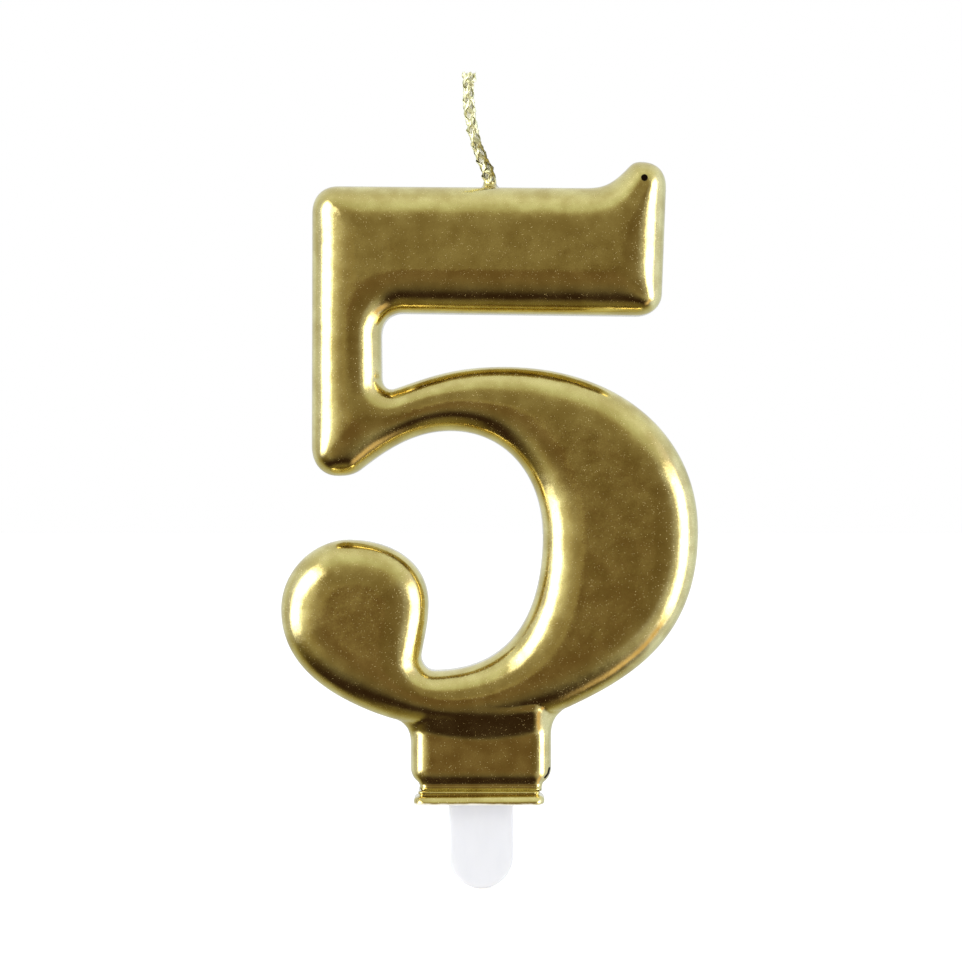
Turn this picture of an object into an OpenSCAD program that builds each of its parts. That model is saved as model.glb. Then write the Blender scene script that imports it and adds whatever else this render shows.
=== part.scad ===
// Number birthday candle: a gold "5" in a serif style on a small plinth, with a braided wick
// in its top bar and a flat pick under its foot plate.
// The origin is the middle of the foot plate's underside, +Z is up and -Y is the front.

/* [Numeral] */
// Thickness of the numeral, front to back
numeral_depth = 10; // [9:0.5:14]
// How far the rounded edges reach back from the faces
edge_depth = 3.6; // [2:0.1:4]
// How far the rounded edges reach in from the outline
edge_width = 2.2; // [1.2:0.1:2.3]

/* [Plinth] */
// Thickness of the plinth, front to back
plinth_depth = 5.8; // [5.6:0.1:9]
// Half the width of the plinth
plinth_half = 7.9; // [7:0.1:8.5]
// Radius of the plinth's edges
plinth_edge = 2.2; // [0.8:0.1:2.3]
// Height of the plinth's underside, where it sits on the foot plate
plinth_base = 1.5; // [1.4:0.1:2]

/* [Foot plate] */
// Width of the foot plate
plate_w = 14.5; // [13:0.1:15.4]
// Thickness of the foot plate, front to back
plate_depth = 6.8; // [6:0.1:8]
// Radius of the foot plate's edges
plate_edge = 0.6; // [0.3:0.05:0.65]

/* [Pick] */
// Width of the pick
pick_w = 7.1; // [6.5:0.1:9]
// Thickness of the pick
pick_t = 1.8; // [1.2:0.1:2.5]
// Length of the pick under the foot plate
pick_out = 9.4; // [7:0.1:25]
// Height of the pick's anchor above the foot plate's underside
pick_in = 12.4; // [11.5:0.1:13]
// Diameter of the hole in the anchor that the wax fills
anchor_hole = 2.6; // [1.5:0.1:3]

/* [Wick] */
// Diameter of the bore that holds the wick
wick_bore = 1.4; // [1.4:0.05:1.8]
// Depth of the wick's bore in the top bar
wick_in = 11.4; // [6:0.2:12]
// Diameter of each cotton ply
ply_d = 0.38; // [0.3:0.01:0.38]
// Height that a cotton ply climbs in one turn
ply_pitch = 5; // [4:0.5:10]
// Width of a tinsel thread
tinsel_w = 0.28; // [0.15:0.01:0.28]
// Thickness of a tinsel thread
tinsel_t = 0.06; // [0.04:0.01:0.06]
// Height that a tinsel thread climbs in one turn
tinsel_pitch = 5; // [5:0.5:10]

/* [Hidden] */
EPS = 0.01;
TOP_EDGE = 68.4;
// Facets round each rounded edge of the wax
EDGE_FACETS = 16;

// The numeral's outline, clockwise in the XZ plane. Each knot is its x, its z, the direction
// of travel there in degrees, and the reach of the curve into it and out of it.
NUMERAL = [
    // spur and right end of the top bar
    [17.7, 71.15, 0, 1, 1.9],
    [20.5, 68.2, -91, 1.8, 0],
    [20.05, 56.5, -93, 0, 1.5],
    [17.2, 54.1, 180, 1.6, 0],
    // inside corner between the bar and the stem
    [-8.6, 54.4, 180, 0, 1.6],
    [-11, 51.8, -90, 1.5, 0],
    [-10.95, 47.2, -88, 0, 0.9],
    // outside of the bowl, down to the plinth
    [-9.6, 46, 19, 0.7, 4],
    [2.5, 48.45, 0, 5.5, 12.8],
    [24.05, 30.2, -90, 10.8, 11.3],
    [10, 10.9, 205, 8.2, 3],
    [-1.5, 8.3, 180, 4, 4],
    // tail and ball
    [-12.3, 10.35, 158, 3, 5.8],
    [-22.15, 21.6, 90, 5.7, 4.3],
    [-14.8, 29.3, 0, 3.7, 5.4],
    [-5.8, 22.2, -90, 4.3, 2],
    [-6.6, 16.5, -100, 2, 0.7],
    // inside of the bowl
    [-5.2, 14.8, 0, 0.8, 8.2],
    [6.85, 29.8, 90, 9.2, 6.4],
    [-3.4, 41.35, 180, 6.3, 4],
    [-13.2, 37.15, 218, 3.5, 1],
    // foot of the stem
    [-15.9, 36.35, 180, 1.2, 1.5],
    [-18.75, 39.6, 91, 2.1, 0],
    // left side and top edge
    [-18.7, 65.4, 90, 0, 1.9],
    [-15.8, 68.45, 0, 1.8, 0],
    [11.6, 68.25, 0, 0, 2],
    [15.9, 70.1, 44, 2, 0.9]
];

// The plinth's outline in the same form. It flares where it meets the numeral.
PLINTH = [
    [-10.6, 11.5, 0, 0, 0],
    [10.2, 11.5, -90, 0, 0],
    [10.2, 10.9, 205, 0, 1.3],
    [plinth_half, 8, -90, 1.5, 0],
    [plinth_half, 3.5, -90, 0, 0.8],
    [plinth_half - 1.5, plinth_base, 180, 0.9, 0],
    [1.5 - plinth_half, plinth_base, 180, 0, 0.9],
    [-plinth_half, 3.5, 90, 0.8, 0],
    [-plinth_half, 7.6, 90, 0, 1.4],
    [-10.6, 9.85, 161, 1.5, 0]
];

// Middle line of the wick in the same form, from just over its bore's end to its cut end
WICK_X = 0.95;
BORE_END = TOP_EDGE - wick_in;
WICK_FOOT = BORE_END + 0.2;
WICK = [
    [WICK_X, WICK_FOOT, 90, 0, 0],
    [WICK_X, 69.1, 90, 0, 0.8],
    [0.2, 71.4, 113, 0.9, 2],
    [-1.4, 79.6, 89, 3.6, 0.5],
    [-1.3, 81.1, 86, 0.5, 0]
];
// Height of each step along the wick, and how far its bore runs on past the top edge
WICK_STEP = 0.28;
BORE_RUN = 3;
// The wax that the wick draws up round itself
COLLAR_H = 0.45;
COLLAR_R = 1.5;

// The plies lie against each other, and the tinsel weaves in and out round them
PLY_ORBIT = ply_d / sqrt(3) + EPS;
WEAVE = tinsel_t / 2 + 0.055;
TINSEL_ORBIT = PLY_ORBIT + ply_d / 2 + tinsel_t / 2 + WEAVE + 2 * EPS;
STRANDS = 3;

// Where the anchor's hole and notches are, as heights, and how deep the notches cut
HOLE_Z = 8.6;
NOTCHES = [4.4, 8.6];
NOTCH_H = 1.6;
NOTCH_CUT = 0.9;

// One name for each thread of the wick
function thread_names(kind) = [for (i = [1 : STRANDS]) str(kind, "_", i)];
PLIES = thread_names("wick_ply");
TINSEL_RIGHT = thread_names("tinsel_right");
TINSEL_LEFT = thread_names("tinsel_left");

GOLD = [0.66, 0.55, 0.27];
PLASTIC = [0.94, 0.94, 0.96];
COTTON = [0.93, 0.9, 0.8];
TINSEL = [0.9, 0.85, 0.5];

// ---- curves ----

// The angle from direction a to direction b
function turn(a, b) = (b - a + 900) % 360 - 180;

function ahead(knot, reach) =
    [knot[0] + reach * cos(knot[2]), knot[1] + reach * sin(knot[2])];

function bezier(a, b, c, d, t) =
    pow(1 - t, 3) * a + 3 * pow(1 - t, 2) * t * b
    + 3 * (1 - t) * t * t * c + pow(t, 3) * d;

// The points of the curve from knot p to knot q, without its last one
function curve(p, q, steps) =
    [for (i = [0 : steps - 1])
        bezier([p[0], p[1]], ahead(p, p[4]), ahead(q, -q[3]), [q[0], q[1]], i / steps)];

// A closed outline, with a point for about every ten degrees that it turns
function outline(knots) =
    [for (i = [0 : len(knots) - 1])
        let (p = knots[i], q = knots[(i + 1) % len(knots)])
        each curve(p, q, max(1, ceil(abs(turn(p[2], q[2])) / 10)))];

// An open line, with a point about every step
function line(knots, step) =
    let (last = knots[len(knots) - 1])
    concat(
        [for (i = [0 : len(knots) - 2])
            let (p = knots[i], q = knots[i + 1])
            each curve(p, q, ceil(norm([q[0] - p[0], q[1] - p[1]]) / step))],
        [[last[0], last[1]]]);

// ---- solids made from curves ----

// A slab of an outline in the XZ plane, with its front and back edges rounded by an ellipse
module rounded_slab(points, depth, width, back) {
    core = depth - 2 * back;
    true_r = width / cos(180 / EDGE_FACETS);
    minkowski() {
        rotate([90, 0, 0])
            translate([0, 0, -core / 2])
                linear_extrude(core)
                    offset(delta = -width)
                        polygon(points);
        scale([1, back / width, 1])
            rotate([90, 0, 0])
                sphere(r = true_r, $fn = EDGE_FACETS);
    }
}

// An outline in the XZ plane made into a plate of the given thickness
module upright(thickness) {
    rotate([90, 0, 0])
        translate([0, 0, -thickness / 2])
            linear_extrude(thickness)
                children();
}

module rounded_rectangle(w, h, r) {
    square([w - 2 * r, h], center = true);
    square([w, h - 2 * r], center = true);
    for (x = [-1, 1], y = [-1, 1])
        translate([x * (w / 2 - r), y * (h / 2 - r)])
            circle(r = r, $fn = 32);
}

// ---- threads of the wick ----

MIDDLE = line(WICK, WICK_STEP);
LAST = len(MIDDLE) - 1;

function along(points, i) =
    let (d = points[min(i + 1, len(points) - 1)] - points[max(i - 1, 0)]) d / norm(d);

// The way outwards from the middle line at step i, at an angle round it
function outwards(i, angle) =
    let (t = along(MIDDLE, i))
    [cos(angle) * t[1], sin(angle), -cos(angle) * t[0]];

// The route of a thread that climbs one pitch a turn. It starts at angle phase, goes round
// one way or the other with spin, and moves in and out by sway six times a turn.
function thread_angle(i, phase, spin, pitch) =
    phase + spin * 360 * (MIDDLE[i][1] - WICK_FOOT) / pitch;

function thread_route(orbit, pitch, phase, spin, sway) =
    [for (i = [0 : LAST])
        let (swing = orbit + sway * cos(3 * 360 * (MIDDLE[i][1] - WICK_FOOT) / pitch))
        [MIDDLE[i][0], 0, MIDDLE[i][1]]
        + swing * outwards(i, thread_angle(i, phase, spin, pitch))];

// A thread swept along its route. The section is a list of [outwards, sideways] offsets.
// The diagonals of its inner and outer faces match, so a twisted flat thread stays even.
module thread(orbit, pitch, phase, spin, sway, section) {
    route = thread_route(orbit, pitch, phase, spin, sway);
    sides = len(section);
    rings = [for (i = [0 : LAST])
        let (
            t = along(route, i),
            out = outwards(i, thread_angle(i, phase, spin, pitch)),
            side = cross(t, out) / norm(cross(t, out)),
            flat = cross(side, t)
        )
        each [for (s = section) route[i] + s[0] * flat + s[1] * side]];
    walls = [for (i = [0 : LAST - 1], j = [0 : sides - 1])
        let (a = i * sides + j, b = i * sides + (j + 1) % sides, c = a + sides, d = b + sides)
        each j < sides / 2 ? [[a, c, d], [a, d, b]] : [[a, c, b], [b, c, d]]];
    polyhedron(
        rings,
        concat(
            walls,
            [[for (j = [0 : sides - 1]) j]],
            [[for (j = [sides - 1 : -1 : 0]) LAST * sides + j]]
        ));
}

ROUND_SECTION = [for (a = [0 : 45 : 315]) ply_d / 2 * [cos(a), sin(a)]];
FLAT_SECTION = [for (s = [[1, 1], [-1, 1], [-1, -1], [1, -1]])
    [s[0] * tinsel_t / 2, s[1] * tinsel_w / 2]];

module ply(i) {
    color(COTTON)
        thread(PLY_ORBIT, ply_pitch, i * 360 / STRANDS, 1, 0, ROUND_SECTION);
}

// Threads that wind the two ways sway against each other, so each passes over and under
module tinsel(i, spin) {
    color(TINSEL)
        thread(TINSEL_ORBIT, tinsel_pitch, i * 360 / STRANDS, spin, spin * WEAVE,
            FLAT_SECTION);
}

// ---- pick ----

module notch(x, z) {
    translate([x, z])
        scale([2 * NOTCH_CUT, NOTCH_H])
            rotate(45)
                square(sqrt(0.5), center = true);
}

// The pick's outline: a round tip, a straight tongue, and the notched anchor over it
module pick_outline() {
    tip = pick_w / 2 - pick_out;
    translate([0, tip])
        circle(d = pick_w, $fn = 96);
    difference() {
        translate([-pick_w / 2, tip])
            square([pick_w, pick_in - tip]);
        translate([0, HOLE_Z])
            circle(d = anchor_hole, $fn = 48);
        for (x = [-1, 1], z = NOTCHES)
            notch(x * pick_w / 2, z);
    }
}

module pick() {
    color(PLASTIC)
        upright(pick_t)
            pick_outline();
}

// ---- foot plate ----

// A bar with rounded edges that the pick passes through
module foot_plate() {
    color(GOLD)
        difference() {
            translate([0, 0, plinth_base / 2])
                intersection() {
                    upright(plate_depth)
                        rounded_rectangle(plate_w, plinth_base, plate_edge);
                    rotate([0, 0, 90])
                        upright(plate_w)
                            rounded_rectangle(plate_depth, plinth_base, plate_edge);
                    linear_extrude(plinth_base, center = true)
                        rounded_rectangle(plate_w, plate_depth, 2 * plate_edge);
                }
            pick();
        }
}

// ---- wax ----

// The numeral and its plinth are one casting round the wick and the pick's anchor
module wax_body() {
    color(GOLD)
        difference() {
            union() {
                rounded_slab(outline(NUMERAL), numeral_depth, edge_width, edge_depth);
                rounded_slab(outline(PLINTH), plinth_depth, plinth_edge, plinth_edge);
                translate([WICK_X, 0, TOP_EDGE - COLLAR_H])
                    cylinder(r1 = COLLAR_R, r2 = wick_bore / 2 + 0.3, h = 2 * COLLAR_H, $fn = 48);
            }
            translate([WICK_X, 0, BORE_END])
                cylinder(d = wick_bore, h = wick_in + BORE_RUN, $fn = 48);
            pick();
        }
}

wax_body();
foot_plate();
pick();
for (i = [0 : STRANDS - 1]) {
    ply(i);
    tinsel(i, 1);
    tinsel(i, -1);
}
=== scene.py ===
"""Number birthday candle: a gold wax figure on a plinth, with its foot plate, pick and tinsel wick."""
import math

import bpy
import numpy as np
from mathutils.kdtree import KDTree
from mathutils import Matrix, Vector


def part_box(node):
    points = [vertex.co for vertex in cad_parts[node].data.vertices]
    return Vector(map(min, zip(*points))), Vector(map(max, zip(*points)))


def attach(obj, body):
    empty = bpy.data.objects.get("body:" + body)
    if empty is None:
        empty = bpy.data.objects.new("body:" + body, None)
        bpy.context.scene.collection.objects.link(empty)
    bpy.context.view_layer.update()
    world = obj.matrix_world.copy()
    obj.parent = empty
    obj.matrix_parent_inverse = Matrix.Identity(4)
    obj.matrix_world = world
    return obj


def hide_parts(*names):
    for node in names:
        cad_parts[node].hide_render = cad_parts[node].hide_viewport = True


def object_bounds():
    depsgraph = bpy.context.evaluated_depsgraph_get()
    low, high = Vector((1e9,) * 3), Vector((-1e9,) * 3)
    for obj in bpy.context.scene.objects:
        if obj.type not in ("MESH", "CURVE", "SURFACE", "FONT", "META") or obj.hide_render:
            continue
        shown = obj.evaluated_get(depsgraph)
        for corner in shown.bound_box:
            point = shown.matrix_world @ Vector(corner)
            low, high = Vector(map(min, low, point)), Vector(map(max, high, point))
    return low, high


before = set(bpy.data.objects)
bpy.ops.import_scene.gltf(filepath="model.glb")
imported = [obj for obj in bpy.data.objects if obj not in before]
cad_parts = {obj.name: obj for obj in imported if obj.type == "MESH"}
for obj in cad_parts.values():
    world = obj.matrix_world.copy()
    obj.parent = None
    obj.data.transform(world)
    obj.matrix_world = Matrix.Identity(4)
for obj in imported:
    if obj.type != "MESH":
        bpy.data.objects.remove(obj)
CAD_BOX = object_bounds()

MM = 0.001

# ---------------------------------------------------------------- sizes, in millimetres

# Where the CAD parts are, as lowest and highest corners
WAX_LOW, WAX_HIGH = (np.array(c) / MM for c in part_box("wax_body"))
PLATE_LOW, PLATE_HIGH = (np.array(c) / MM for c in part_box("foot_plate"))
PICK_LOW, PICK_HIGH = (np.array(c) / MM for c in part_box("pick"))

# Section of the numeral and of the plinth: half its thickness, how far in from the outline its
# flat face begins, and how far back from the face its edge is rounded
NUMERAL_SECTION = (WAX_HIGH[1] - 0.005, 4.9, 3.4)
PLINTH_SECTION = (2.9, 2.4, 2.6)

# The plinth's front view: half its width, its underside and top, the height over its underside
# where its lower edge begins to round, and what share of its front that edge takes away
PLINTH_HALF_WIDTH = 7.9
PLINTH_BASE = 2.03
PLINTH_TOP = 12.6
BASE_ROUND = 2.0
BASE_SHARE = 0.74
# The neck flares to the figure: the height where this starts at its middle, its slope in degrees
# from upright, and how far out it goes. It starts higher towards the sides, by the arch times x
# squared. The ease rounds its start and its end.
FLARE = (7.2, 25, 1.45)
FLARE_ARCH = 0.02
FLARE_EASE = 0.3
# Rounds the corner where the front of the plinth meets its outline
BASE_EASE = 0.4
# Fillet between the figure and the plinth, at its sides and at its front, and the range of depths
# over which it changes from one to the other
NECK_FILLET = (1.9, 0.2)
NECK_CHANGE = (1.2, 3.2)
# The lip under the plinth: half its width and depth, the height where it begins to spread out
# to the foot plate, how far it spreads, the radius of its corners, and the height inside the
# plinth where it ends
LIP_HALF = (6.72, 2.3)
LIP_TOP = 2.35
LIP_SPREAD = 0.35
LIP_CORNER = 0.9
LIP_END = 4.0
LIP_FILLET = 0.3

# The top bar's upper edge, and the wax that the wick draws up round itself: its radius at the
# top, how much wider it spreads at its foot, and its height
BAR_TOP = 68.36
COLLAR = (0.66, 0.5, 0.75)

# The middle line of the wick in the XZ plane, in the same form as the outline below
WICK = [
    (0.95, 57.2, 90, 0, 0),
    (0.95, 69.1, 90, 0, 0.8),
    (0.2, 71.4, 113, 0.9, 2),
    (-1.4, 79.6, 89, 3.6, 0.5),
    (-1.3, 81.1, 86, 0.5, 0),
]
WICK_X = WICK[0][0]
# Its strands: so many cotton plies, and as many flat tinsel threads each way. The orbits are how
# far their middles lie from the wick's, the weave is how far a flat thread sways to pass over and
# under the others, and the twist's pitch is the height of one turn.
STRANDS = 3
PLY_RADIUS = 0.2
PLY_ORBIT = 0.24
TINSEL_WIDTH = 0.46
TINSEL_THICKNESS = 0.035
TINSEL_ORBIT = 0.56
WEAVE = 0.06
TWIST_PITCH = 5.0
# The threads stand further out at the cut end and where they leave the wax: by what share, the
# heights over the wick's foot where this begins and ends, and over what length each time
END_SPLAY = (0.3, 22.4, 1.5)
FOOT_SPLAY = (0.22, (11.2, 0.8), (12.6, 1.6))
# Painted shade on the side of the wick's lower part that faces right: the heights between which
# it begins, and between which it fades out
PAINTED_SHADE_START = (69.2, 69.8)
PAINTED_SHADE_END = (72.5, 75.5)

# Small damage on the front: a pinhole in the spur, and a crack low on the plinth's right edge
PINHOLE = (18.0, 69.2)
PINHOLE_RADIUS = 0.42
CRACK = ((7.58, 4.0), (7.42, 3.4), (7.08, 3.0))
CRACK_WIDTH = 0.16

# The outline is drawn in by a hair, so that the figure stays inside its CAD box
HAIR = 0.012
# The figure's mesh: the size of its quads, and how far its grid reaches past the CAD box
SKIN_PITCH = 0.36
SKIN_MARGIN = 0.77

# The numeral's outline in the XZ plane, clockwise. Each knot is its x, its z, the direction of
# travel there in degrees, and the reach of the curve into it and out of it.
NUMERAL = [
    # spur and right end of the top bar
    (17.7, 71.15, 0, 1, 1.9),
    (20.5, 68.2, -91, 1.8, 0),
    (20.05, 56.5, -93, 0, 1.5),
    (17.2, 54.1, 180, 1.6, 0),
    # inside corner between the bar and the stem
    (-8.6, 54.4, 180, 0, 1.6),
    (-11, 51.8, -90, 1.5, 0),
    (-10.95, 47.2, -88, 0, 0.9),
    # outside of the bowl, down to the plinth
    (-9.6, 46, 19, 0.7, 4),
    (2.5, 48.45, 0, 5.5, 12.8),
    (24.05, 30.2, -90, 10.8, 11.3),
    (10, 10.9, 205, 8.2, 3),
    (-1.5, 8.3, 180, 4, 4),
    # tail and ball
    (-12.3, 10.35, 158, 3, 5.8),
    (-22.15, 21.6, 90, 5.7, 4.3),
    (-14.8, 29.3, 0, 3.7, 5.4),
    (-5.8, 22.2, -90, 4.3, 2),
    (-6.6, 16.5, -100, 2, 0.7),
    # inside of the bowl
    (-5.2, 14.8, 0, 0.8, 8.2),
    (6.85, 29.8, 90, 9.2, 6.4),
    (-3.4, 41.35, 180, 6.3, 4),
    (-13.2, 37.15, 218, 3.5, 1),
    # foot of the stem
    (-15.9, 36.35, 180, 1.2, 1.5),
    (-18.75, 39.6, 91, 2.1, 0),
    # left side and top edge
    (-18.7, 65.4, 90, 0, 1.9),
    (-15.8, 68.45, 0, 1.8, 0),
    (11.6, 68.25, 0, 0, 2),
    (15.9, 70.1, 44, 2, 0.9),
]


# ---------------------------------------------------------------- shapes as fields

def curve(start, end, steps):
    """Points of the curve between two knots, without its last one."""
    def ahead(knot, reach):
        angle = math.radians(knot[2])
        return np.array(knot[:2]) + reach * np.array([math.cos(angle), math.sin(angle)])

    t = np.linspace(0, 1, steps, endpoint=False)[:, None]
    a, b = np.array(start[:2]), ahead(start, start[4])
    c, d = ahead(end, -end[3]), np.array(end[:2])
    return (1 - t) ** 3 * a + 3 * (1 - t) ** 2 * t * b + 3 * (1 - t) * t * t * c + t ** 3 * d


def outline(knots, spacing):
    """A closed outline with evenly spaced points."""
    rough = np.vstack([curve(p, q, 60) for p, q in zip(knots, knots[1:] + knots[:1])])
    rough = np.vstack([rough, rough[:1]])
    run = np.r_[0, np.cumsum(np.hypot(*np.diff(rough, axis=0).T))]
    at = np.linspace(0, run[-1], int(run[-1] / spacing), endpoint=False)
    return np.stack([np.interp(at, run, rough[:, k]) for k in (0, 1)], axis=1)


class Depth:
    """How deep a point of the XZ plane lies inside an outline, held on an even grid.

    Deep inside, the ridges where two sides meet are smoothed, as molten wax rounds them.
    """

    PITCH = 0.2
    MARGIN = 4.0
    # The smoothing begins at this depth, and is full after this much more
    SOFT_FROM = 0.6
    SOFT_OVER = 2.4

    def __init__(self, points, soften=1.0):
        self.low = points.min(axis=0) - self.MARGIN
        count = np.ceil((points.max(axis=0) + self.MARGIN - self.low) / self.PITCH).astype(int) + 1
        x, z = (self.low[k] + self.PITCH * np.arange(count[k]) for k in (0, 1))
        here = np.stack(np.meshgrid(x, z, indexing="ij"), axis=-1).reshape(-1, 2)
        exact = self.measure(points, here).reshape(count)
        smooth = self.blurred(exact, soften / self.PITCH)
        share = ease((exact - self.SOFT_FROM) / self.SOFT_OVER)
        self.grid = exact * (1 - share) + smooth * share

    @staticmethod
    def measure(points, here):
        """Signed distance to a clockwise outline, positive inside."""
        tree = KDTree(len(points))
        for i, (x, z) in enumerate(points):
            tree.insert((x, z, 0), i)
        tree.balance()
        nearest = np.array([tree.find((x, z, 0))[1] for x, z in here])
        best, side = np.full(len(here), np.inf), np.zeros(len(here))
        for step in (-1, 0):
            a = points[(nearest + step) % len(points)]
            b = points[(nearest + step + 1) % len(points)]
            run, off = b - a, here - a
            t = np.clip((off * run).sum(1) / (run * run).sum(1), 0, 1)
            gap = np.hypot(*(off - run * t[:, None]).T)
            cross = run[:, 1] * off[:, 0] - run[:, 0] * off[:, 1]
            closer = gap < best
            best = np.where(closer, gap, best)
            side = np.where(closer, cross, side)
        return best * np.sign(side)

    @staticmethod
    def blurred(grid, width):
        """A soft copy of the grid. width is in cells."""
        reach = int(3 * width)
        kernel = np.exp(-0.5 * (np.arange(-reach, reach + 1) / width) ** 2)
        kernel /= kernel.sum()
        for axis in (0, 1):
            pad = [(reach, reach) if k == axis else (0, 0) for k in (0, 1)]
            padded = np.pad(grid, pad, mode="reflect", reflect_type="odd")
            grid = np.apply_along_axis(np.convolve, axis, padded, kernel, mode="valid")
        return grid

    def at(self, x, z):
        """The depth at each point, by a smooth cubic through the grid."""
        grid = self.grid
        spot = [np.clip((v - low) / self.PITCH, 1, n - 2.001)
                for v, low, n in zip((x, z), self.low, grid.shape)]
        cell = [np.floor(s).astype(int) for s in spot]
        weights = []
        for s, c in zip(spot, cell):
            f = s - c
            weights.append((
                -0.5 * f + f ** 2 - 0.5 * f ** 3,
                1 - 2.5 * f ** 2 + 1.5 * f ** 3,
                0.5 * f + 2 * f ** 2 - 1.5 * f ** 3,
                -0.5 * f ** 2 + 0.5 * f ** 3,
            ))
        total = 0
        for i, wx in enumerate(weights[0]):
            for j, wz in enumerate(weights[1]):
                ix = np.clip(cell[0] + i - 1, 0, grid.shape[0] - 1)
                iz = np.clip(cell[1] + j - 1, 0, grid.shape[1] - 1)
                total = total + wx * wz * grid[ix, iz]
        return total


def ease(t):
    """A smooth rise from 0 to 1."""
    t = np.clip(t, 0, 1)
    return t * t * (3 - 2 * t)


def moulding(depth, y, section):
    """A body with a flat front and back and elliptical edges, negative inside.

    depth is how far each point lies inside the front view's outline.
    """
    half, across, back = section
    inward = (across - depth) / across
    outward = (np.abs(y) - half + back) / back
    corner = np.hypot(np.maximum(inward, 0), np.maximum(outward, 0))
    flat = np.minimum(np.maximum(inward, outward), 0)
    return (corner + flat - 1) * (across + back) / 2


def join(a, b, fillet):
    """The union of two fields, with a fillet where they meet."""
    near = np.maximum(fillet - np.abs(a - b), 0) / fillet
    return np.minimum(a, b) - near ** 2 * fillet / 4


def skin(field, low, high, pitch):
    """A closed mesh of quads over the surface where the field is zero."""
    axes = [np.arange(a, b + pitch, pitch) for a, b in zip(low, high)]
    values = field(*np.meshgrid(*axes, indexing="ij"))
    inside = values < 0
    cells = tuple(n - 1 for n in values.shape)
    total, count = np.zeros(cells + (3,)), np.zeros(cells)
    window = [slice(0, -1), slice(1, None)]
    for axis in range(3):
        across = [k for k in range(3) if k != axis]
        for i in (0, 1):
            for j in (0, 1):
                first, second = [None] * 3, [None] * 3
                for ends in (first, second):
                    ends[across[0]], ends[across[1]] = window[i], window[j]
                first[axis], second[axis] = window
                a, b = values[tuple(first)], values[tuple(second)]
                crossed = (a < 0) != (b < 0)
                t = np.where(crossed, a / np.where(crossed, a - b, 1), 0)
                place = np.zeros(cells + (3,))
                place[..., axis] = t
                place[..., across[0]], place[..., across[1]] = i, j
                total += place * crossed[..., None]
                count += crossed
    used = count > 0
    number = np.full(cells, -1)
    number[used] = np.arange(used.sum())
    corner = np.stack(np.nonzero(used), axis=1)
    points = np.array([a[0] for a in axes]) + pitch * (corner + total[used] / count[used][:, None])
    quads = []
    for axis in range(3):
        u, v = (axis + 1) % 3, (axis + 2) % 3
        lead = [slice(None)] * 3
        lead[axis] = slice(0, -1)
        tail = [slice(None)] * 3
        tail[axis] = slice(1, None)
        change = inside[tuple(lead)] != inside[tuple(tail)]
        spots = np.stack(np.nonzero(change), axis=1)
        going_out = inside[tuple(spots.T)]
        ring = []
        for du, dv in ((-1, -1), (0, -1), (0, 0), (-1, 0)):
            cell = spots.copy()
            cell[:, u] += du
            cell[:, v] += dv
            ring.append(number[tuple(cell.T)])
        quad = np.stack(ring, axis=1)
        quad[~going_out] = quad[~going_out][:, ::-1]
        quads.append(quad)
    return points, np.vstack(quads)


def slope(field, points, step=0.01):
    """How steeply a field rises at each point along X, Y and Z."""
    parts = []
    for axis in range(3):
        shift = np.zeros(3)
        shift[axis] = step
        parts.append(field(*(points + shift).T) - field(*(points - shift).T))
    return np.stack(parts, axis=1) / (2 * step)


def settle(field, points, rounds=4):
    """Moves points onto the surface of a field."""
    for _ in range(rounds):
        gradient = slope(field, points)
        step = field(*points.T) / np.maximum((gradient ** 2).sum(1), 0.05)
        points = points - gradient * np.clip(step, -0.2, 0.2)[:, None]
    return points


def new_piece(name, points, faces, normals=None):
    """A mesh object from points in millimetres."""
    mesh = bpy.data.meshes.new(name)
    mesh.from_pydata((np.asarray(points) * MM).tolist(), [], faces)
    mesh.shade_smooth()
    if normals is not None:
        mesh.normals_split_custom_set_from_vertices(normals.tolist())
    piece = bpy.data.objects.new(name, mesh)
    bpy.context.scene.collection.objects.link(piece)
    return piece


# ---------------------------------------------------------------- wax

NUMERAL_DEPTH = Depth(outline(NUMERAL, 0.1))


def lip(x, y, z):
    """The bar under the plinth, with round corners, hollowed round its sides."""
    spread = LIP_SPREAD * np.clip((LIP_TOP - z) / (LIP_TOP - WAX_LOW[2]), 0, 1.2) ** 3
    dx = np.abs(x) - LIP_HALF[0] - spread + LIP_CORNER
    dy = np.abs(y) - LIP_HALF[1] - spread + LIP_CORNER
    side = np.hypot(np.maximum(dx, 0), np.maximum(dy, 0)) + np.minimum(np.maximum(dx, dy), 0)
    return np.maximum(side - LIP_CORNER, np.maximum(WAX_LOW[2] - z, z - LIP_END))


def plinth(x, y, z):
    """The plinth, drawn in at its foot and flared at its neck, front and back."""
    half, across, back = PLINTH_SECTION
    start, slant, reach = FLARE
    climb = z - start - FLARE_ARCH * x * x
    flare = (climb + np.hypot(climb, FLARE_EASE)) / 2 * math.tan(math.radians(slant))
    flare = join(flare, reach, FLARE_EASE)
    beside = np.maximum((np.abs(x) - PLINTH_HALF_WIDTH) / across + 1, 0)
    below = np.maximum(1 - (z - PLINTH_BASE) / BASE_ROUND, 0)
    above = np.maximum((z - PLINTH_TOP) / across + 1, 0)
    before = np.maximum((np.abs(y) - flare - half) / back + 1, 0)
    front_view = np.hypot(beside, below) - 1
    rounded = np.sqrt(beside ** 2 + (BASE_SHARE * below) ** 2 + above ** 2 + before ** 2) - 1
    return -join(-front_view * BASE_ROUND, -rounded * (across + back) / 2, BASE_EASE)


def wax_field(x, y, z):
    """The whole casting: figure, plinth and lip."""
    numeral = moulding(NUMERAL_DEPTH.at(x, z) - HAIR, y, NUMERAL_SECTION)
    at_side, at_front = NECK_FILLET
    low, high = NECK_CHANGE
    fillet = at_side + (at_front - at_side) * ease((np.abs(y) - low) / (high - low))
    body = join(numeral, plinth(x, y, z), fillet)
    return join(body, lip(x, y, z), LIP_FILLET)


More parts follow.
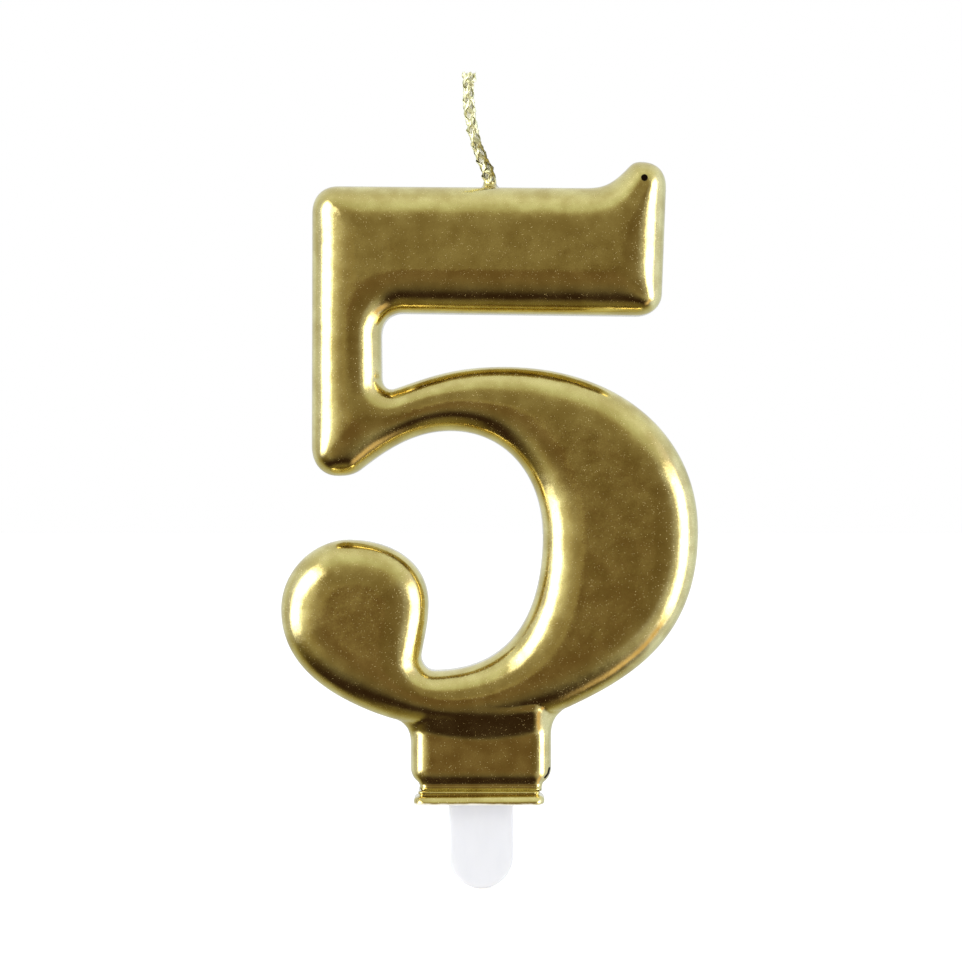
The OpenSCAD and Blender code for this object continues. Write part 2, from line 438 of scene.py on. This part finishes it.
def collar(sides=48):
    """The little trumpet of wax round the foot of the wick: its points, faces and normals."""
    neck, spread, height = COLLAR
    profile = [(neck + spread * math.exp(-h / 0.2), h) for h in np.linspace(-0.25, height, 16)]
    profile += [(neck - 0.06, height + 0.04), (neck - 0.2, height + 0.02), (0.05, height - 0.1)]
    turn = np.linspace(0, 2 * math.pi, sides, endpoint=False)
    uneven = 1 + 0.06 * np.sin(3 * turn + 1) + 0.04 * np.sin(5 * turn)
    points, faces, normals = [], [], []
    for level, (r, h) in enumerate(profile):
        before, after = profile[max(level - 1, 0)], profile[min(level + 1, len(profile) - 1)]
        slant = (after[1] - before[1], before[0] - after[0])
        slant = np.array(slant) / math.hypot(*slant)
        for i, a in enumerate(turn):
            points.append((WICK_X + r * uneven[i] * math.cos(a), r * uneven[i] * math.sin(a),
                           BAR_TOP + h * (1 + 0.15 * math.sin(2 * a))))
            normals.append((slant[0] * math.cos(a), slant[0] * math.sin(a), slant[1]))
            if level:
                j = (i + 1) % sides
                below, here = (level - 1) * sides, level * sides
                faces.append((below + i, below + j, here + j, here + i))
    faces.append(tuple(range(sides))[::-1])
    faces.append(tuple(range(len(points) - sides, len(points))))
    return np.array(points), faces, np.array(normals)


def make_wax():
    """The casting as a smooth mesh, with the trumpet of wax at the wick."""
    points, faces = skin(wax_field, WAX_LOW - SKIN_MARGIN, WAX_HIGH + SKIN_MARGIN, SKIN_PITCH)
    points = settle(wax_field, points)
    normals = slope(wax_field, points)
    normals /= np.linalg.norm(normals, axis=1)[:, None]
    ring, ring_faces, ring_normals = collar()
    faces = faces.tolist() + [tuple(i + len(points) for i in f) for f in ring_faces]
    return new_piece("wax_figure", np.vstack([points, ring]), faces,
                     np.vstack([normals, ring_normals]))


wax = make_wax()
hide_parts("wax_body")
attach(wax, "root")


# ---------------------------------------------------------------- foot plate and pick

def rounded_loop(half_w, half_d, radius, steps=10, along=60):
    """A rounded rectangle's points, anticlockwise, with extra points on its long sides."""
    points = []
    for corner, (sx, sy) in enumerate([(1, 1), (-1, 1), (-1, -1), (1, -1)]):
        for i in range(steps + 1):
            a = math.radians(90 * (corner + i / steps))
            points.append((sx * (half_w - radius) + radius * math.cos(a),
                           sy * (half_d - radius) + radius * math.sin(a)))
        if corner % 2 == 0:
            start, reach = points[-1], -2 * sx * (half_w - radius)
            points += [(start[0] + reach * i / along, start[1]) for i in range(1, along)]
    return points


def stack(name, rings):
    """A closed solid from rings of the same count, in order along its length."""
    count = len(rings[0])
    points = [p for ring in rings for p in ring]
    faces = []
    for level in range(len(rings) - 1):
        for i in range(count):
            a, b = level * count + i, level * count + (i + 1) % count
            faces.append((a, b, b + count, a + count))
    faces.append(tuple(range(count))[::-1])
    faces.append(tuple(range((len(rings) - 1) * count, len(rings) * count)))
    return new_piece(name, points, faces)


# The plate's edge, from its underside up: how far in from its full depth and from its full width,
# and its height. Its last points are the bead along the joint with the wax.
PLATE_SIDE = [
    (1.6, 1.6, 0.0), (0.2, 0.4, 0.0), (0.06, 0.2, 0.04), (0.0, 0.08, 0.13), (0.01, 0.02, 0.26),
    (0.06, 0.0, 0.4), (0.14, 0.0, 0.54), (0.24, 0.04, 0.68), (0.34, 0.12, 0.81),
    (0.45, 0.26, 0.92), (0.63, 0.44, 1.0), (0.8, 0.56, 1.06), (0.87, 0.62, 1.12),
    (0.82, 0.62, 1.17), (0.7, 0.56, 1.21), (0.62, 0.5, 1.27), (0.61, 0.48, 1.35),
    (0.65, 0.5, 1.43), (0.76, 0.58, 1.5), (1.6, 1.6, 1.5),
]
# The radius of its corners at the edge, and the least where they are drawn in
PLATE_CORNER = (1.3, 0.35)
# The plate sits a little askew: its tilt and its shift, and the room that these need at its ends
PLATE_TILT = math.radians(0.5)
PLATE_SHIFT = -0.2
PLATE_ROOM = 0.03
# The bead wavers by this much, from this height up
BEAD_BASE = 1.19
BEAD_WAVER = 0.05


def make_plate():
    """The bar under the wax: its sloping top, its bead and the crisp edge below."""
    half_w, half_d = PLATE_HIGH[0] - PLATE_ROOM, PLATE_HIGH[1]
    widest, least = PLATE_CORNER
    rings = []
    for inset, end_inset, height in PLATE_SIDE:
        radius = max(widest - inset, least)
        loop = rounded_loop(half_w - end_inset, half_d - inset, radius)
        ring = []
        for x, y in loop:
            waver, tilt = 0, 0
            if height > BEAD_BASE:
                waver = BEAD_WAVER * math.sin(9.7 * x) * math.sin(4.1 * x + 1)
            elif height > 0:
                tilt = x * PLATE_TILT
            rise = height * PLATE_HIGH[2] / PLATE_SIDE[-1][2]
            ring.append((x + PLATE_SHIFT - rise * PLATE_TILT, y * (1 + waver / half_d),
                         max(rise + tilt, 0)))
        rings.append(ring)
    return stack("foot_bar", rings)


# The pick's edge, from its front face to its back: how far in from the outline, and how far
# through the thickness
PICK_EDGE = [(0.9, -1), (0.22, -1), (0.1, -0.94), (0.03, -0.83), (0, -0.68),
             (0, 0.68), (0.03, 0.83), (0.1, 0.94), (0.22, 1), (0.9, 1)]


def make_pick():
    """A flat tongue with a round tip, its edges eased."""
    half_w, half_t = PICK_HIGH[0], PICK_HIGH[1]
    tip = PICK_LOW[2] + half_w
    rings = []
    for inset, through in PICK_EDGE:
        w = half_w - inset
        arc = [(w * math.cos(a), tip + w * math.sin(a)) for a in np.linspace(-math.pi, 0, 49)]
        side = [(w, z) for z in np.linspace(tip, PICK_HIGH[2] - inset, 12)[1:]]
        loop = arc + side + [(-x, z) for x, z in side[::-1]]
        rings.append([(x, through * half_t, z) for x, z in loop[::-1]])
    return stack("cake_pick", rings)


plate = make_plate()
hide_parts("foot_plate")
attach(plate, "root")

pick = make_pick()
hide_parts("pick")
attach(pick, "root")


# ---------------------------------------------------------------- wick

def wick_frame(step=0.09):
    """Points along the wick's middle line, with its direction and the way across it."""
    rough = np.vstack([curve(p, q, 80) for p, q in zip(WICK, WICK[1:])] + [[WICK[-1][:2]]])
    run = np.r_[0, np.cumsum(np.hypot(*np.diff(rough, axis=0).T))]
    at = np.linspace(0, run[-1], int(run[-1] / step))
    x, z = (np.interp(at, run, rough[:, k]) for k in (0, 1))
    middle = np.stack([x, np.zeros_like(x), z], axis=1)
    ahead = np.gradient(middle, axis=0)
    ahead /= np.linalg.norm(ahead, axis=1)[:, None]
    return middle, np.stack([ahead[:, 2], np.zeros_like(x), -ahead[:, 0]], axis=1)


MIDDLE, ACROSS = wick_frame()
CLIMB = MIDDLE[:, 2] - MIDDLE[0, 2]
# The threads are cut off level, just inside the CAD's box
WICK_TOP = CAD_BOX[1][2] / MM - 0.003


def splay():
    """How much further out than usual the threads stand, for each step along the wick."""
    at_end, end_start, end_length = END_SPLAY
    at_foot, (start, start_length), (finish, finish_length) = FOOT_SPLAY
    foot = ease((CLIMB - start) / start_length) * (1 - ease((CLIMB - finish) / finish_length))
    return 1 + at_end * ease((CLIMB - end_start) / end_length) + at_foot * foot


SPLAY = splay()


def thread(name, angle, orbit, section):
    """A thread that winds round the wick's middle line.

    angle and orbit have a value for each step. section has a list of (outward, sideways)
    offsets for each step, anticlockwise as seen from the top.
    """
    out = np.cos(angle)[:, None] * ACROSS + np.sin(angle)[:, None] * [0, 1, 0]
    route = MIDDLE + orbit[:, None] * out
    ahead = np.gradient(route, axis=0)
    ahead /= np.linalg.norm(ahead, axis=1)[:, None]
    side = np.cross(ahead, out)
    side /= np.linalg.norm(side, axis=1)[:, None]
    flat = np.cross(side, ahead)
    points = route[:, None] + section[..., :1] * flat[:, None] + section[..., 1:] * side[:, None]
    points[..., 2] = np.minimum(points[..., 2], WICK_TOP)
    return stack(name, points.tolist())


def make_ply(i):
    """A cotton ply of lobed section, as several yarns twisted together."""
    angle = 2 * math.pi * (CLIMB / TWIST_PITCH + i / STRANDS)
    round_it = np.linspace(0, 2 * math.pi, 20, endpoint=False)[None]
    yarns = np.cos(5 * round_it + 3.2 * CLIMB[:, None])
    uneven = 1 + 0.07 * np.sin(1.9 * CLIMB[:, None] + 2 * i)
    radius = PLY_RADIUS * uneven * (1 + 0.13 * yarns)
    section = np.stack([radius * np.cos(round_it), radius * np.sin(round_it)], axis=-1)
    return thread(f"cotton_{i + 1}", angle, PLY_ORBIT * SPLAY, section)


def make_tinsel(i, spin, name):
    """A flat metallised thread that hugs the cotton, crumpled along its length.

    Threads that wind the two ways sway against each other, so each passes over and under.
    """
    seed = 2 * i + (spin > 0)
    wander = 0.22 * np.sin(1.3 * CLIMB + 2.1 * seed) + 0.12 * np.sin(3.1 * CLIMB + seed)
    angle = spin * 2 * math.pi * CLIMB / TWIST_PITCH + 2 * math.pi * i / STRANDS + wander
    sway = spin * WEAVE * np.cos(2 * STRANDS * math.pi * CLIMB / TWIST_PITCH)
    orbit = (TINSEL_ORBIT + sway + 0.03 * np.sin(4.7 * CLIMB + 1.7 * seed)) * SPLAY
    across = np.linspace(-0.5, 0.5, 7)[None] * TINSEL_WIDTH
    across = across * (1 + 0.12 * np.sin(2.3 * CLIMB + seed))[:, None]
    lean = 0.35 * np.sin(3.7 * CLIMB + 2.9 * seed) + 0.2 * np.sin(8.3 * CLIMB + 1.3 * seed)
    bend = -across ** 2 / (2.4 * TINSEL_ORBIT) + across * np.tan(lean)[:, None]
    bend = bend + 0.02 * np.sin(13 * across / TINSEL_WIDTH + 5.1 * CLIMB[:, None] + seed)
    outer = np.stack([bend + TINSEL_THICKNESS / 2, across], axis=-1)
    inner = np.stack([bend - TINSEL_THICKNESS / 2, across], axis=-1)[:, ::-1]
    return thread(name, angle, orbit, np.concatenate([outer, inner], axis=1))


cotton = []
tinsel = []
for i in range(STRANDS):
    cotton.append(make_ply(i))
    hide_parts(f"wick_ply_{i + 1}")
    for spin, way in ((1, "right"), (-1, "left")):
        tinsel.append(make_tinsel(i, spin, f"gold_thread_{way}_{i + 1}"))
        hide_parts(f"tinsel_{way}_{i + 1}")
for piece in cotton + tinsel:
    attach(piece, "root")


# ---------------------------------------------------------------- shading

class Socket:
    """An output of a node. Arithmetic on it adds Math nodes to the same tree."""

    def __init__(self, graph, link):
        self.graph, self.link = graph, link

    def math(self, operation, *others):
        return self.graph.add("ShaderNodeMath", {"operation": operation},
                              dict(enumerate((self,) + others)))

    def __add__(self, other):
        return self.math("ADD", other)

    __radd__ = __add__

    def __mul__(self, other):
        return self.math("MULTIPLY", other)

    __rmul__ = __mul__

    def __sub__(self, other):
        return self.math("SUBTRACT", other)

    def __rsub__(self, other):
        return self.graph.add("ShaderNodeMath", {"operation": "SUBTRACT"}, {0: other, 1: self})

    def __truediv__(self, other):
        return self.math("DIVIDE", other)

    def __pow__(self, other):
        return self.math("POWER", other)


class Graph:
    """The node tree of one material or of the world."""

    def __init__(self, tree):
        self.tree = tree
        tree.nodes.clear()

    def add(self, kind, settings=None, sockets=None, output=0):
        """Adds a node: its settings first, then the values or links of its sockets."""
        node = self.tree.nodes.new(kind)
        for name, value in (settings or {}).items():
            if name == "stops":
                self.set_stops(node.color_ramp, value)
            else:
                setattr(node, name, value)
        for name, value in (sockets or {}).items():
            if isinstance(value, Socket):
                self.tree.links.new(value.link, node.inputs[name])
            else:
                node.inputs[name].default_value = value
        return Socket(self, node.outputs[output]) if node.outputs else node

    @staticmethod
    def set_stops(ramp, stops):
        for place, _ in stops[1:-1]:
            ramp.elements.new(place)
        for element, (place, shade) in zip(ramp.elements, stops):
            element.position = place
            element.color = shade

    def smoothstep(self, value, low, high):
        """0 under low and 1 over high, with a smooth rise between."""
        return self.add("ShaderNodeMapRange", {"interpolation_type": "SMOOTHSTEP"},
                        {"Value": value, "From Min": low, "From Max": high})

    def mix(self, share, first, second, blend="MIX"):
        """Mixes two colours."""
        return self.add("ShaderNodeMix", {"data_type": "RGBA", "blend_type": blend},
                        {0: share, 6: first, 7: second}, output=2)

    def vector(self, operation, *values, output=0):
        return self.add("ShaderNodeVectorMath", {"operation": operation},
                        dict(enumerate(values)), output=output)

    def scaled(self, vector, factor):
        return self.add("ShaderNodeVectorMath", {"operation": "SCALE"},
                        {0: vector, "Scale": factor})


def new_material(name):
    material = bpy.data.materials.new(name)
    material.use_nodes = True
    return material, Graph(material.node_tree)


def dress(piece, material):
    piece.data.materials.clear()
    piece.data.materials.append(material)


def colour(r, g, b):
    return (r, g, b, 1)


# ---------------------------------------------------------------- materials

# The lacquer's flakes: how many to a millimetre, how far each leans, and how much further an
# upright one does. Then the height of its ripples in millimetres, and its colours.
FLAKES_PER_MM = 10.0
FLAKE_LEAN = 0.03
UPRIGHT_LEAN = 0.12
RIPPLE = 0.055
DEEP_GOLD = colour(0.63, 0.51, 0.20)
PALE_GOLD = colour(0.84, 0.73, 0.33)
BROWN_GOLD = colour(0.5, 0.38, 0.13)
BRIGHT_FLAKE = colour(0.95, 0.8, 0.45)
# Dark wax in the crack, and dark wax with painted shade inside the pinhole
DARK_WAX_AND_HOLE_SHADE = colour(0.012, 0.006, 0.003)
BARE_PLASTIC = colour(0.84, 0.82, 0.78)
# The heights on the foot plate between which the bare plastic gives way to lacquer
BARE_EDGE = (0.12, 0.34)


def gold_lacquer(name, bare_edge=False):
    """Metallic gold lacquer: fine flakes that lie nearly flat, over wax that isn't quite even.

    A few flakes stand up from the rest and catch light from elsewhere in the room. The crack
    shows dark, and the pinhole is a dark disc: dark wax, with painted shade for the inside of the
    hole, which the mesh doesn't have. With bare_edge the lacquer ends just over the underside.
    """
    material, g = new_material(name)
    place = g.scaled(g.add("ShaderNodeTexCoord", output=3), 1 / MM)
    grain = g.add("ShaderNodeTexVoronoi", {"feature": "F1"}, {
        "Vector": place, "Scale": FLAKES_PER_MM})
    flake = Socket(g, grain.link.node.outputs[1])
    chance = g.add("ShaderNodeSeparateColor", {}, {0: flake})
    shade = Socket(g, chance.link.node.outputs[1])
    upright = g.smoothstep(chance, 0.93, 0.97) * (1 - g.smoothstep(grain, 0.25, 0.5))
    lean = g.vector("SUBTRACT", flake, (0.5, 0.5, 0.5))
    lean = g.scaled(lean, upright * UPRIGHT_LEAN + FLAKE_LEAN)
    facing = g.vector("ADD", g.add("ShaderNodeNewGeometry", output=1), lean)
    facing = g.vector("NORMALIZE", facing)
    ripple = g.add("ShaderNodeTexNoise", {}, {"Vector": place, "Scale": 0.3, "Detail": 2.5})
    bump = g.add("ShaderNodeBump", {}, {
        "Strength": 1.0, "Distance": RIPPLE * MM, "Height": ripple, "Normal": facing})
    cloud = g.add("ShaderNodeTexNoise", {}, {"Vector": place, "Scale": 0.4, "Detail": 6.0})
    cloud = g.smoothstep(cloud, 0.32, 0.68)
    base = g.mix(cloud, DEEP_GOLD, PALE_GOLD)
    base = g.mix(shade * 0.22, base, BROWN_GOLD)
    base = g.mix(upright, base, BRIGHT_FLAKE)

    x = g.add("ShaderNodeSeparateXYZ", {}, {0: place})
    y, z = (Socket(g, x.link.node.outputs[k]) for k in (1, 2))
    in_front = g.smoothstep(y * -1, 0, 1)

    def near(start, end):
        """Distance in the XZ plane to a short line from start to end."""
        run = (end[0] - start[0], end[1] - start[1])
        share = ((x - start[0]) * run[0] + (z - start[1]) * run[1]) / (run[0] ** 2 + run[1] ** 2)
        share = share.math("MAXIMUM", 0).math("MINIMUM", 1)
        off_x = x - start[0] - share * run[0]
        off_z = z - start[1] - share * run[1]
        return (off_x * off_x + off_z * off_z) ** 0.5

    # painted shade: the pinhole is a dark disc standing for the shaded inside of a hole that the mesh
    # lacks, over dark wax
    pinhole = near(PINHOLE, (PINHOLE[0], PINHOLE[1] + 0.02))
    pinhole = 1 - g.smoothstep(pinhole, PINHOLE_RADIUS - 0.08, PINHOLE_RADIUS)
    crack = near(CRACK[0], CRACK[1]).math("MINIMUM", near(CRACK[1], CRACK[2]))
    crack = 1 - g.smoothstep(crack, CRACK_WIDTH * 0.5, CRACK_WIDTH)
    bare = pinhole.math("MAXIMUM", crack) * in_front
    base = g.mix(bare, base, DARK_WAX_AND_HOLE_SHADE)
    plastic = 0
    if bare_edge:
        ragged = z + cloud * 0.12
        plastic = 1 - g.smoothstep(ragged, *BARE_EDGE)
        base = g.mix(plastic, base, BARE_PLASTIC)
        bare = bare.math("MAXIMUM", plastic)
    roughness = 0.12 + cloud * 0.05 + (bare + upright) * 0.5
    lacquer = g.add("ShaderNodeBsdfPrincipled", {}, {
        "Base Color": base, "Metallic": 1 - plastic, "Roughness": roughness, "Normal": bump})
    g.add("ShaderNodeOutputMaterial", {}, {"Surface": lacquer})
    return material


def white_plastic():
    """Thin white plastic that lets some light through, with faint flow marks."""
    material, g = new_material("white_plastic")
    place = g.scaled(g.add("ShaderNodeTexCoord", output=3), 1 / MM)
    stretched = g.vector("MULTIPLY", place, (1.0, 1.0, 0.25))
    flow = g.add("ShaderNodeTexNoise", {}, {"Vector": stretched, "Scale": 0.9, "Detail": 3.0})
    base = g.mix(flow, colour(0.73, 0.745, 0.82), colour(0.79, 0.80, 0.87))
    fine = g.add("ShaderNodeTexNoise", {}, {"Vector": place, "Scale": 6.0, "Detail": 2.0})
    bump = g.add("ShaderNodeBump", {}, {"Strength": 0.3, "Distance": 0.02 * MM, "Height": fine})
    shader = g.add("ShaderNodeBsdfPrincipled", {}, {
        "Base Color": base, "Roughness": 0.34 + fine * 0.12, "Subsurface Weight": 0.4,
        "Subsurface Radius": (1.0, 1.0, 1.0), "Subsurface Scale": 1.2 * MM, "Normal": bump})
    g.add("ShaderNodeOutputMaterial", {}, {"Surface": shader})
    return material


def cotton_yarn():
    """Unbleached cotton, with fine fibres along each ply."""
    material, g = new_material("cotton_yarn")
    place = g.scaled(g.add("ShaderNodeTexCoord", output=3), 1 / MM)
    drawn = g.vector("MULTIPLY", place, (1.0, 1.0, 0.35))
    fibre = g.add("ShaderNodeTexNoise", {}, {"Vector": drawn, "Scale": 14.0, "Detail": 4.0})
    fibre = g.smoothstep(fibre, 0.3, 0.7)
    base = g.mix(fibre, colour(0.84, 0.82, 0.64), colour(0.98, 0.97, 0.90))
    bump = g.add("ShaderNodeBump", {}, {"Strength": 0.9, "Distance": 0.03 * MM, "Height": fibre})
    shader = g.add("ShaderNodeBsdfPrincipled", {}, {
        "Base Color": base, "Roughness": 0.85, "Normal": bump})
    g.add("ShaderNodeOutputMaterial", {}, {"Surface": shader})
    return material


def gold_foil():
    """Bright metallised thread, creased into small facets.

    Painted shade darkens the side of its lower part that faces right.
    """
    material, g = new_material("gold_foil")
    place = g.scaled(g.add("ShaderNodeTexCoord", output=3), 1 / MM)
    facet = g.add("ShaderNodeTexVoronoi", {"feature": "F1"}, {"Vector": place, "Scale": 2.6}, output=1)
    lean = g.scaled(g.vector("SUBTRACT", facet, (0.5, 0.5, 0.5)), 0.4)
    facing = g.vector("ADD", g.add("ShaderNodeNewGeometry", output=1), lean)
    facing = g.vector("NORMALIZE", facing)
    crease = g.add("ShaderNodeTexNoise", {}, {"Vector": place, "Scale": 5.0, "Detail": 2.0})
    base = g.mix(crease, colour(0.76, 0.74, 0.36), colour(0.98, 0.97, 0.72))
    height = g.add("ShaderNodeSeparateXYZ", {}, {0: place}, output=2)
    toward = g.add("ShaderNodeSeparateXYZ", {}, {0: g.add("ShaderNodeNewGeometry", output=1)})
    # painted shade: the lower wick is darkened olive brown where its surface faces right
    painted_shade = (1 - g.smoothstep(height, *PAINTED_SHADE_END)) * g.smoothstep(toward, -0.2, 0.4)
    painted_shade = painted_shade * g.smoothstep(height, *PAINTED_SHADE_START)
    base = g.mix(painted_shade, base, colour(0.22, 0.17, 0.03))
    bump = g.add("ShaderNodeBump", {}, {
        "Strength": 0.6, "Distance": 0.03 * MM, "Height": crease, "Normal": facing})
    shader = g.add("ShaderNodeBsdfPrincipled", {}, {
        "Base Color": base, "Metallic": 0.75, "Roughness": 0.34 + crease * 0.14, "Normal": bump})
    g.add("ShaderNodeOutputMaterial", {}, {"Surface": shader})
    return material


dress(wax, gold_lacquer("gold_lacquer"))
dress(plate, gold_lacquer("gold_plate_lacquer", bare_edge=True))
dress(pick, white_plastic())
COTTON = cotton_yarn()
FOIL = gold_foil()
for piece in cotton:
    dress(piece, COTTON)
for piece in tinsel:
    dress(piece, FOIL)


# ---------------------------------------------------------------- studio

def make_floor():
    half = 3.0
    level = PICK_LOW[2] * MM
    mesh = bpy.data.meshes.new("floor")
    mesh.from_pydata([(-half, -half, level), (half, -half, level), (half, half, level),
                      (-half, half, level)], [], [(0, 1, 2, 3)])
    floor = bpy.data.objects.new("floor", mesh)
    bpy.context.scene.collection.objects.link(floor)
    floor.visible_glossy = False
    material, g = new_material("pale_floor")
    shader = g.add("ShaderNodeBsdfPrincipled", {}, {
        "Base Color": colour(0.95, 0.91, 0.86), "Roughness": 0.9,
        "Emission Color": colour(1, 1, 1), "Emission Strength": 0.3})
    g.add("ShaderNodeOutputMaterial", {}, {"Surface": shader})
    dress(floor, material)


# The room on each side of the candle: angle in degrees from straight ahead, then brightness
LEFT_SIDE = [
    (0, (0.29, 0.24, 0.125)), (5, (0.38, 0.32, 0.175)), (14, (0.37, 0.31, 0.175)),
    (22, (0.42, 0.37, 0.24)), (30, (0.58, 0.53, 0.37)), (38, (0.8, 0.78, 0.62)),
    (47, (1.0, 1.02, 0.9)), (72, (1.1, 1.2, 1.4)), (88, (0.64, 0.68, 0.8)),
    (106, (0.64, 0.66, 0.6)), (122, (0.8, 0.88, 0.98)), (180, (0.8, 0.84, 0.9)),
]
RIGHT_SIDE = [
    (0, (0.2, 0.15, 0.07)), (9, (0.18, 0.13, 0.055)), (26, (0.21, 0.16, 0.08)),
    (35, (0.24, 0.19, 0.1)), (41, (0.44, 0.42, 0.38)), (54, (0.7, 0.7, 0.62)),
    (76, (1.2, 1.2, 1.5)), (85, (0.9, 1.0, 1.3)), (106, (0.87, 0.98, 1.2)),
    (122, (0.72, 0.83, 0.98)), (180, (0.8, 0.84, 0.9)),
]
OVERHEAD = [
    (0, (0.28, 0.23, 0.12)), (16, (0.29, 0.24, 0.13)), (28, (0.31, 0.26, 0.145)),
    (35, (0.39, 0.34, 0.2)), (42, (0.6, 0.6, 0.42)), (49, (0.7, 0.74, 0.58)),
    (57, (0.76, 0.8, 0.66)), (68, (0.84, 0.88, 0.8)), (83, (0.78, 0.82, 0.75)),
    (100, (0.8, 0.86, 0.9)), (132, (0.86, 0.94, 1.1)), (180, (0.85, 0.9, 1.0)),
]
UNDERNEATH = [
    (0, (0.19, 0.125, 0.058)), (17, (0.2, 0.14, 0.068)), (28, (0.23, 0.175, 0.09)),
    (40, (0.38, 0.32, 0.18)), (50, (0.46, 0.42, 0.26)), (62, (0.35, 0.29, 0.14)),
    (80, (0.22, 0.18, 0.06)), (90, (0.28, 0.23, 0.08)), (104, (0.42, 0.39, 0.2)),
    (122, (0.58, 0.6, 0.5)), (180, (0.7, 0.74, 0.8)),
]
# How far up each side the ceiling begins and takes over, and how far down the floor does: the
# sine of the turn from the horizontal
LEFT_ENDS = ((0.3, 0.8), (0.15, 0.5))
RIGHT_ENDS = ((0.35, 0.75), (0.6, 0.9))
# The dark floor in front of the candle
FRONT_FLOOR = (0.04, 0.022, 0.014)

# Softboxes: the range of angles from straight ahead, how much nearer the front they come at
# their top, and the range of turns above the horizontal. Their edges fade over these angles.
SOFT_EDGE = (5, 9)
LEFT_SOFTBOX = ((51, 79), 0.3, (-15, 46))
RIGHT_SOFTBOX = ((54, 80), 0.15, (-28, 22))
SOFTBOX = 5.0
# A warm glow low on the right, under that softbox
GLOW = ((58, 72), 0.2, (-62, -24))
GLOW_COLOUR = (0.98, 0.735, 0.45)


def make_studio_light():
    """The room that lights the candle, as brightness by direction, on a white backdrop."""
    world = bpy.data.worlds.new("studio")
    bpy.context.scene.world = world
    world.use_nodes = True
    g = Graph(world.node_tree)
    x = g.add("ShaderNodeSeparateXYZ", {}, {0: g.add("ShaderNodeTexCoord", output=0)})
    y, z = (Socket(g, x.link.node.outputs[k]) for k in (1, 2))
    half_turn = 1 / math.pi
    angle = (y * -1).math("ARCCOSINE") * half_turn
    reach = (x * x + z * z + 1e-6) ** 0.5
    side, up = x / reach, z / reach

    def relative(shade):
        """A brightness as a share of the softboxes'."""
        return colour(*(v / SOFTBOX for v in shade))

    def ramp(stops):
        scaled = [(a / 180, relative(c)) for a, c in stops]
        return g.add("ShaderNodeValToRGB", {"stops": scaled}, {0: angle})

    def between(value, low, high, soft):
        rise = g.smoothstep(value, low - soft, low + soft)
        return rise * (1 - g.smoothstep(value, high - soft, high + soft))

    overhead, underneath = ramp(OVERHEAD), ramp(UNDERNEATH)

    def flank(stops, top, bottom):
        """One side of the room, from the floor to the ceiling."""
        shade = g.mix(g.smoothstep(up, *top), ramp(stops), overhead)
        return g.mix(g.smoothstep(up * -1, *bottom), shade, underneath)

    def softbox(toward, angles, lean, turns):
        turn = z.math("ARCTAN2", toward) * half_turn
        edges = (v / 180 for v in (*angles, SOFT_EDGE[0]))
        across = between(angle + turn * lean, *edges)
        return across * between(turn, *(v / 180 for v in (*turns, SOFT_EDGE[1])))

    left, right = flank(LEFT_SIDE, *LEFT_ENDS), flank(RIGHT_SIDE, *RIGHT_ENDS)
    shade = g.mix(g.smoothstep(side, -0.3, 0.3), left, right)
    # The front floor lies below and ahead, and is fainter on the right
    down = z * -1
    floor = g.smoothstep(down, 0.3, 0.8) * (1 - g.smoothstep(down, 0.86, 1.02))
    floor = floor * (1 - g.smoothstep(angle, 0.46, 0.6))
    floor = floor * (1 - g.smoothstep(side, 0.35, 0.8) * 0.8)
    shade = g.mix(floor, shade, relative(FRONT_FLOOR))
    lamps = softbox(x * -1, *LEFT_SOFTBOX).math("MAXIMUM", softbox(x, *RIGHT_SOFTBOX))
    shade = g.mix(softbox(x, *GLOW), shade, relative(GLOW_COLOUR))
    shade = g.mix(lamps, shade, colour(1, 1, 1))
    room = g.add("ShaderNodeBackground", {}, {"Color": shade, "Strength": SOFTBOX})
    backdrop = g.add("ShaderNodeBackground", {}, {"Color": colour(1, 1, 1), "Strength": 1.0})
    seen = g.add("ShaderNodeLightPath", output=0)
    light = g.add("ShaderNodeMixShader", {}, {0: seen, 1: room, 2: backdrop})
    g.add("ShaderNodeOutputWorld", {}, {"Surface": light})


# The camera looks straight at the front, level with the middle of the figure
CAMERA_DISTANCE = 0.45
PICTURE_WIDTH = 0.1069
PICTURE_MIDDLE = 0.0358


def make_camera():
    data = bpy.data.cameras.new("camera")
    data.sensor_width = 36
    data.lens = data.sensor_width * CAMERA_DISTANCE / PICTURE_WIDTH
    data.clip_start = 0.01
    camera = bpy.data.objects.new("camera", data)
    camera.location = (0, -CAMERA_DISTANCE, PICTURE_MIDDLE)
    camera.rotation_euler = (math.radians(90), 0, 0)
    bpy.context.scene.collection.objects.link(camera)
    bpy.context.scene.camera = camera


make_camera()
make_floor()
make_studio_light()
bpy.context.scene.view_settings.view_transform = "Standard"
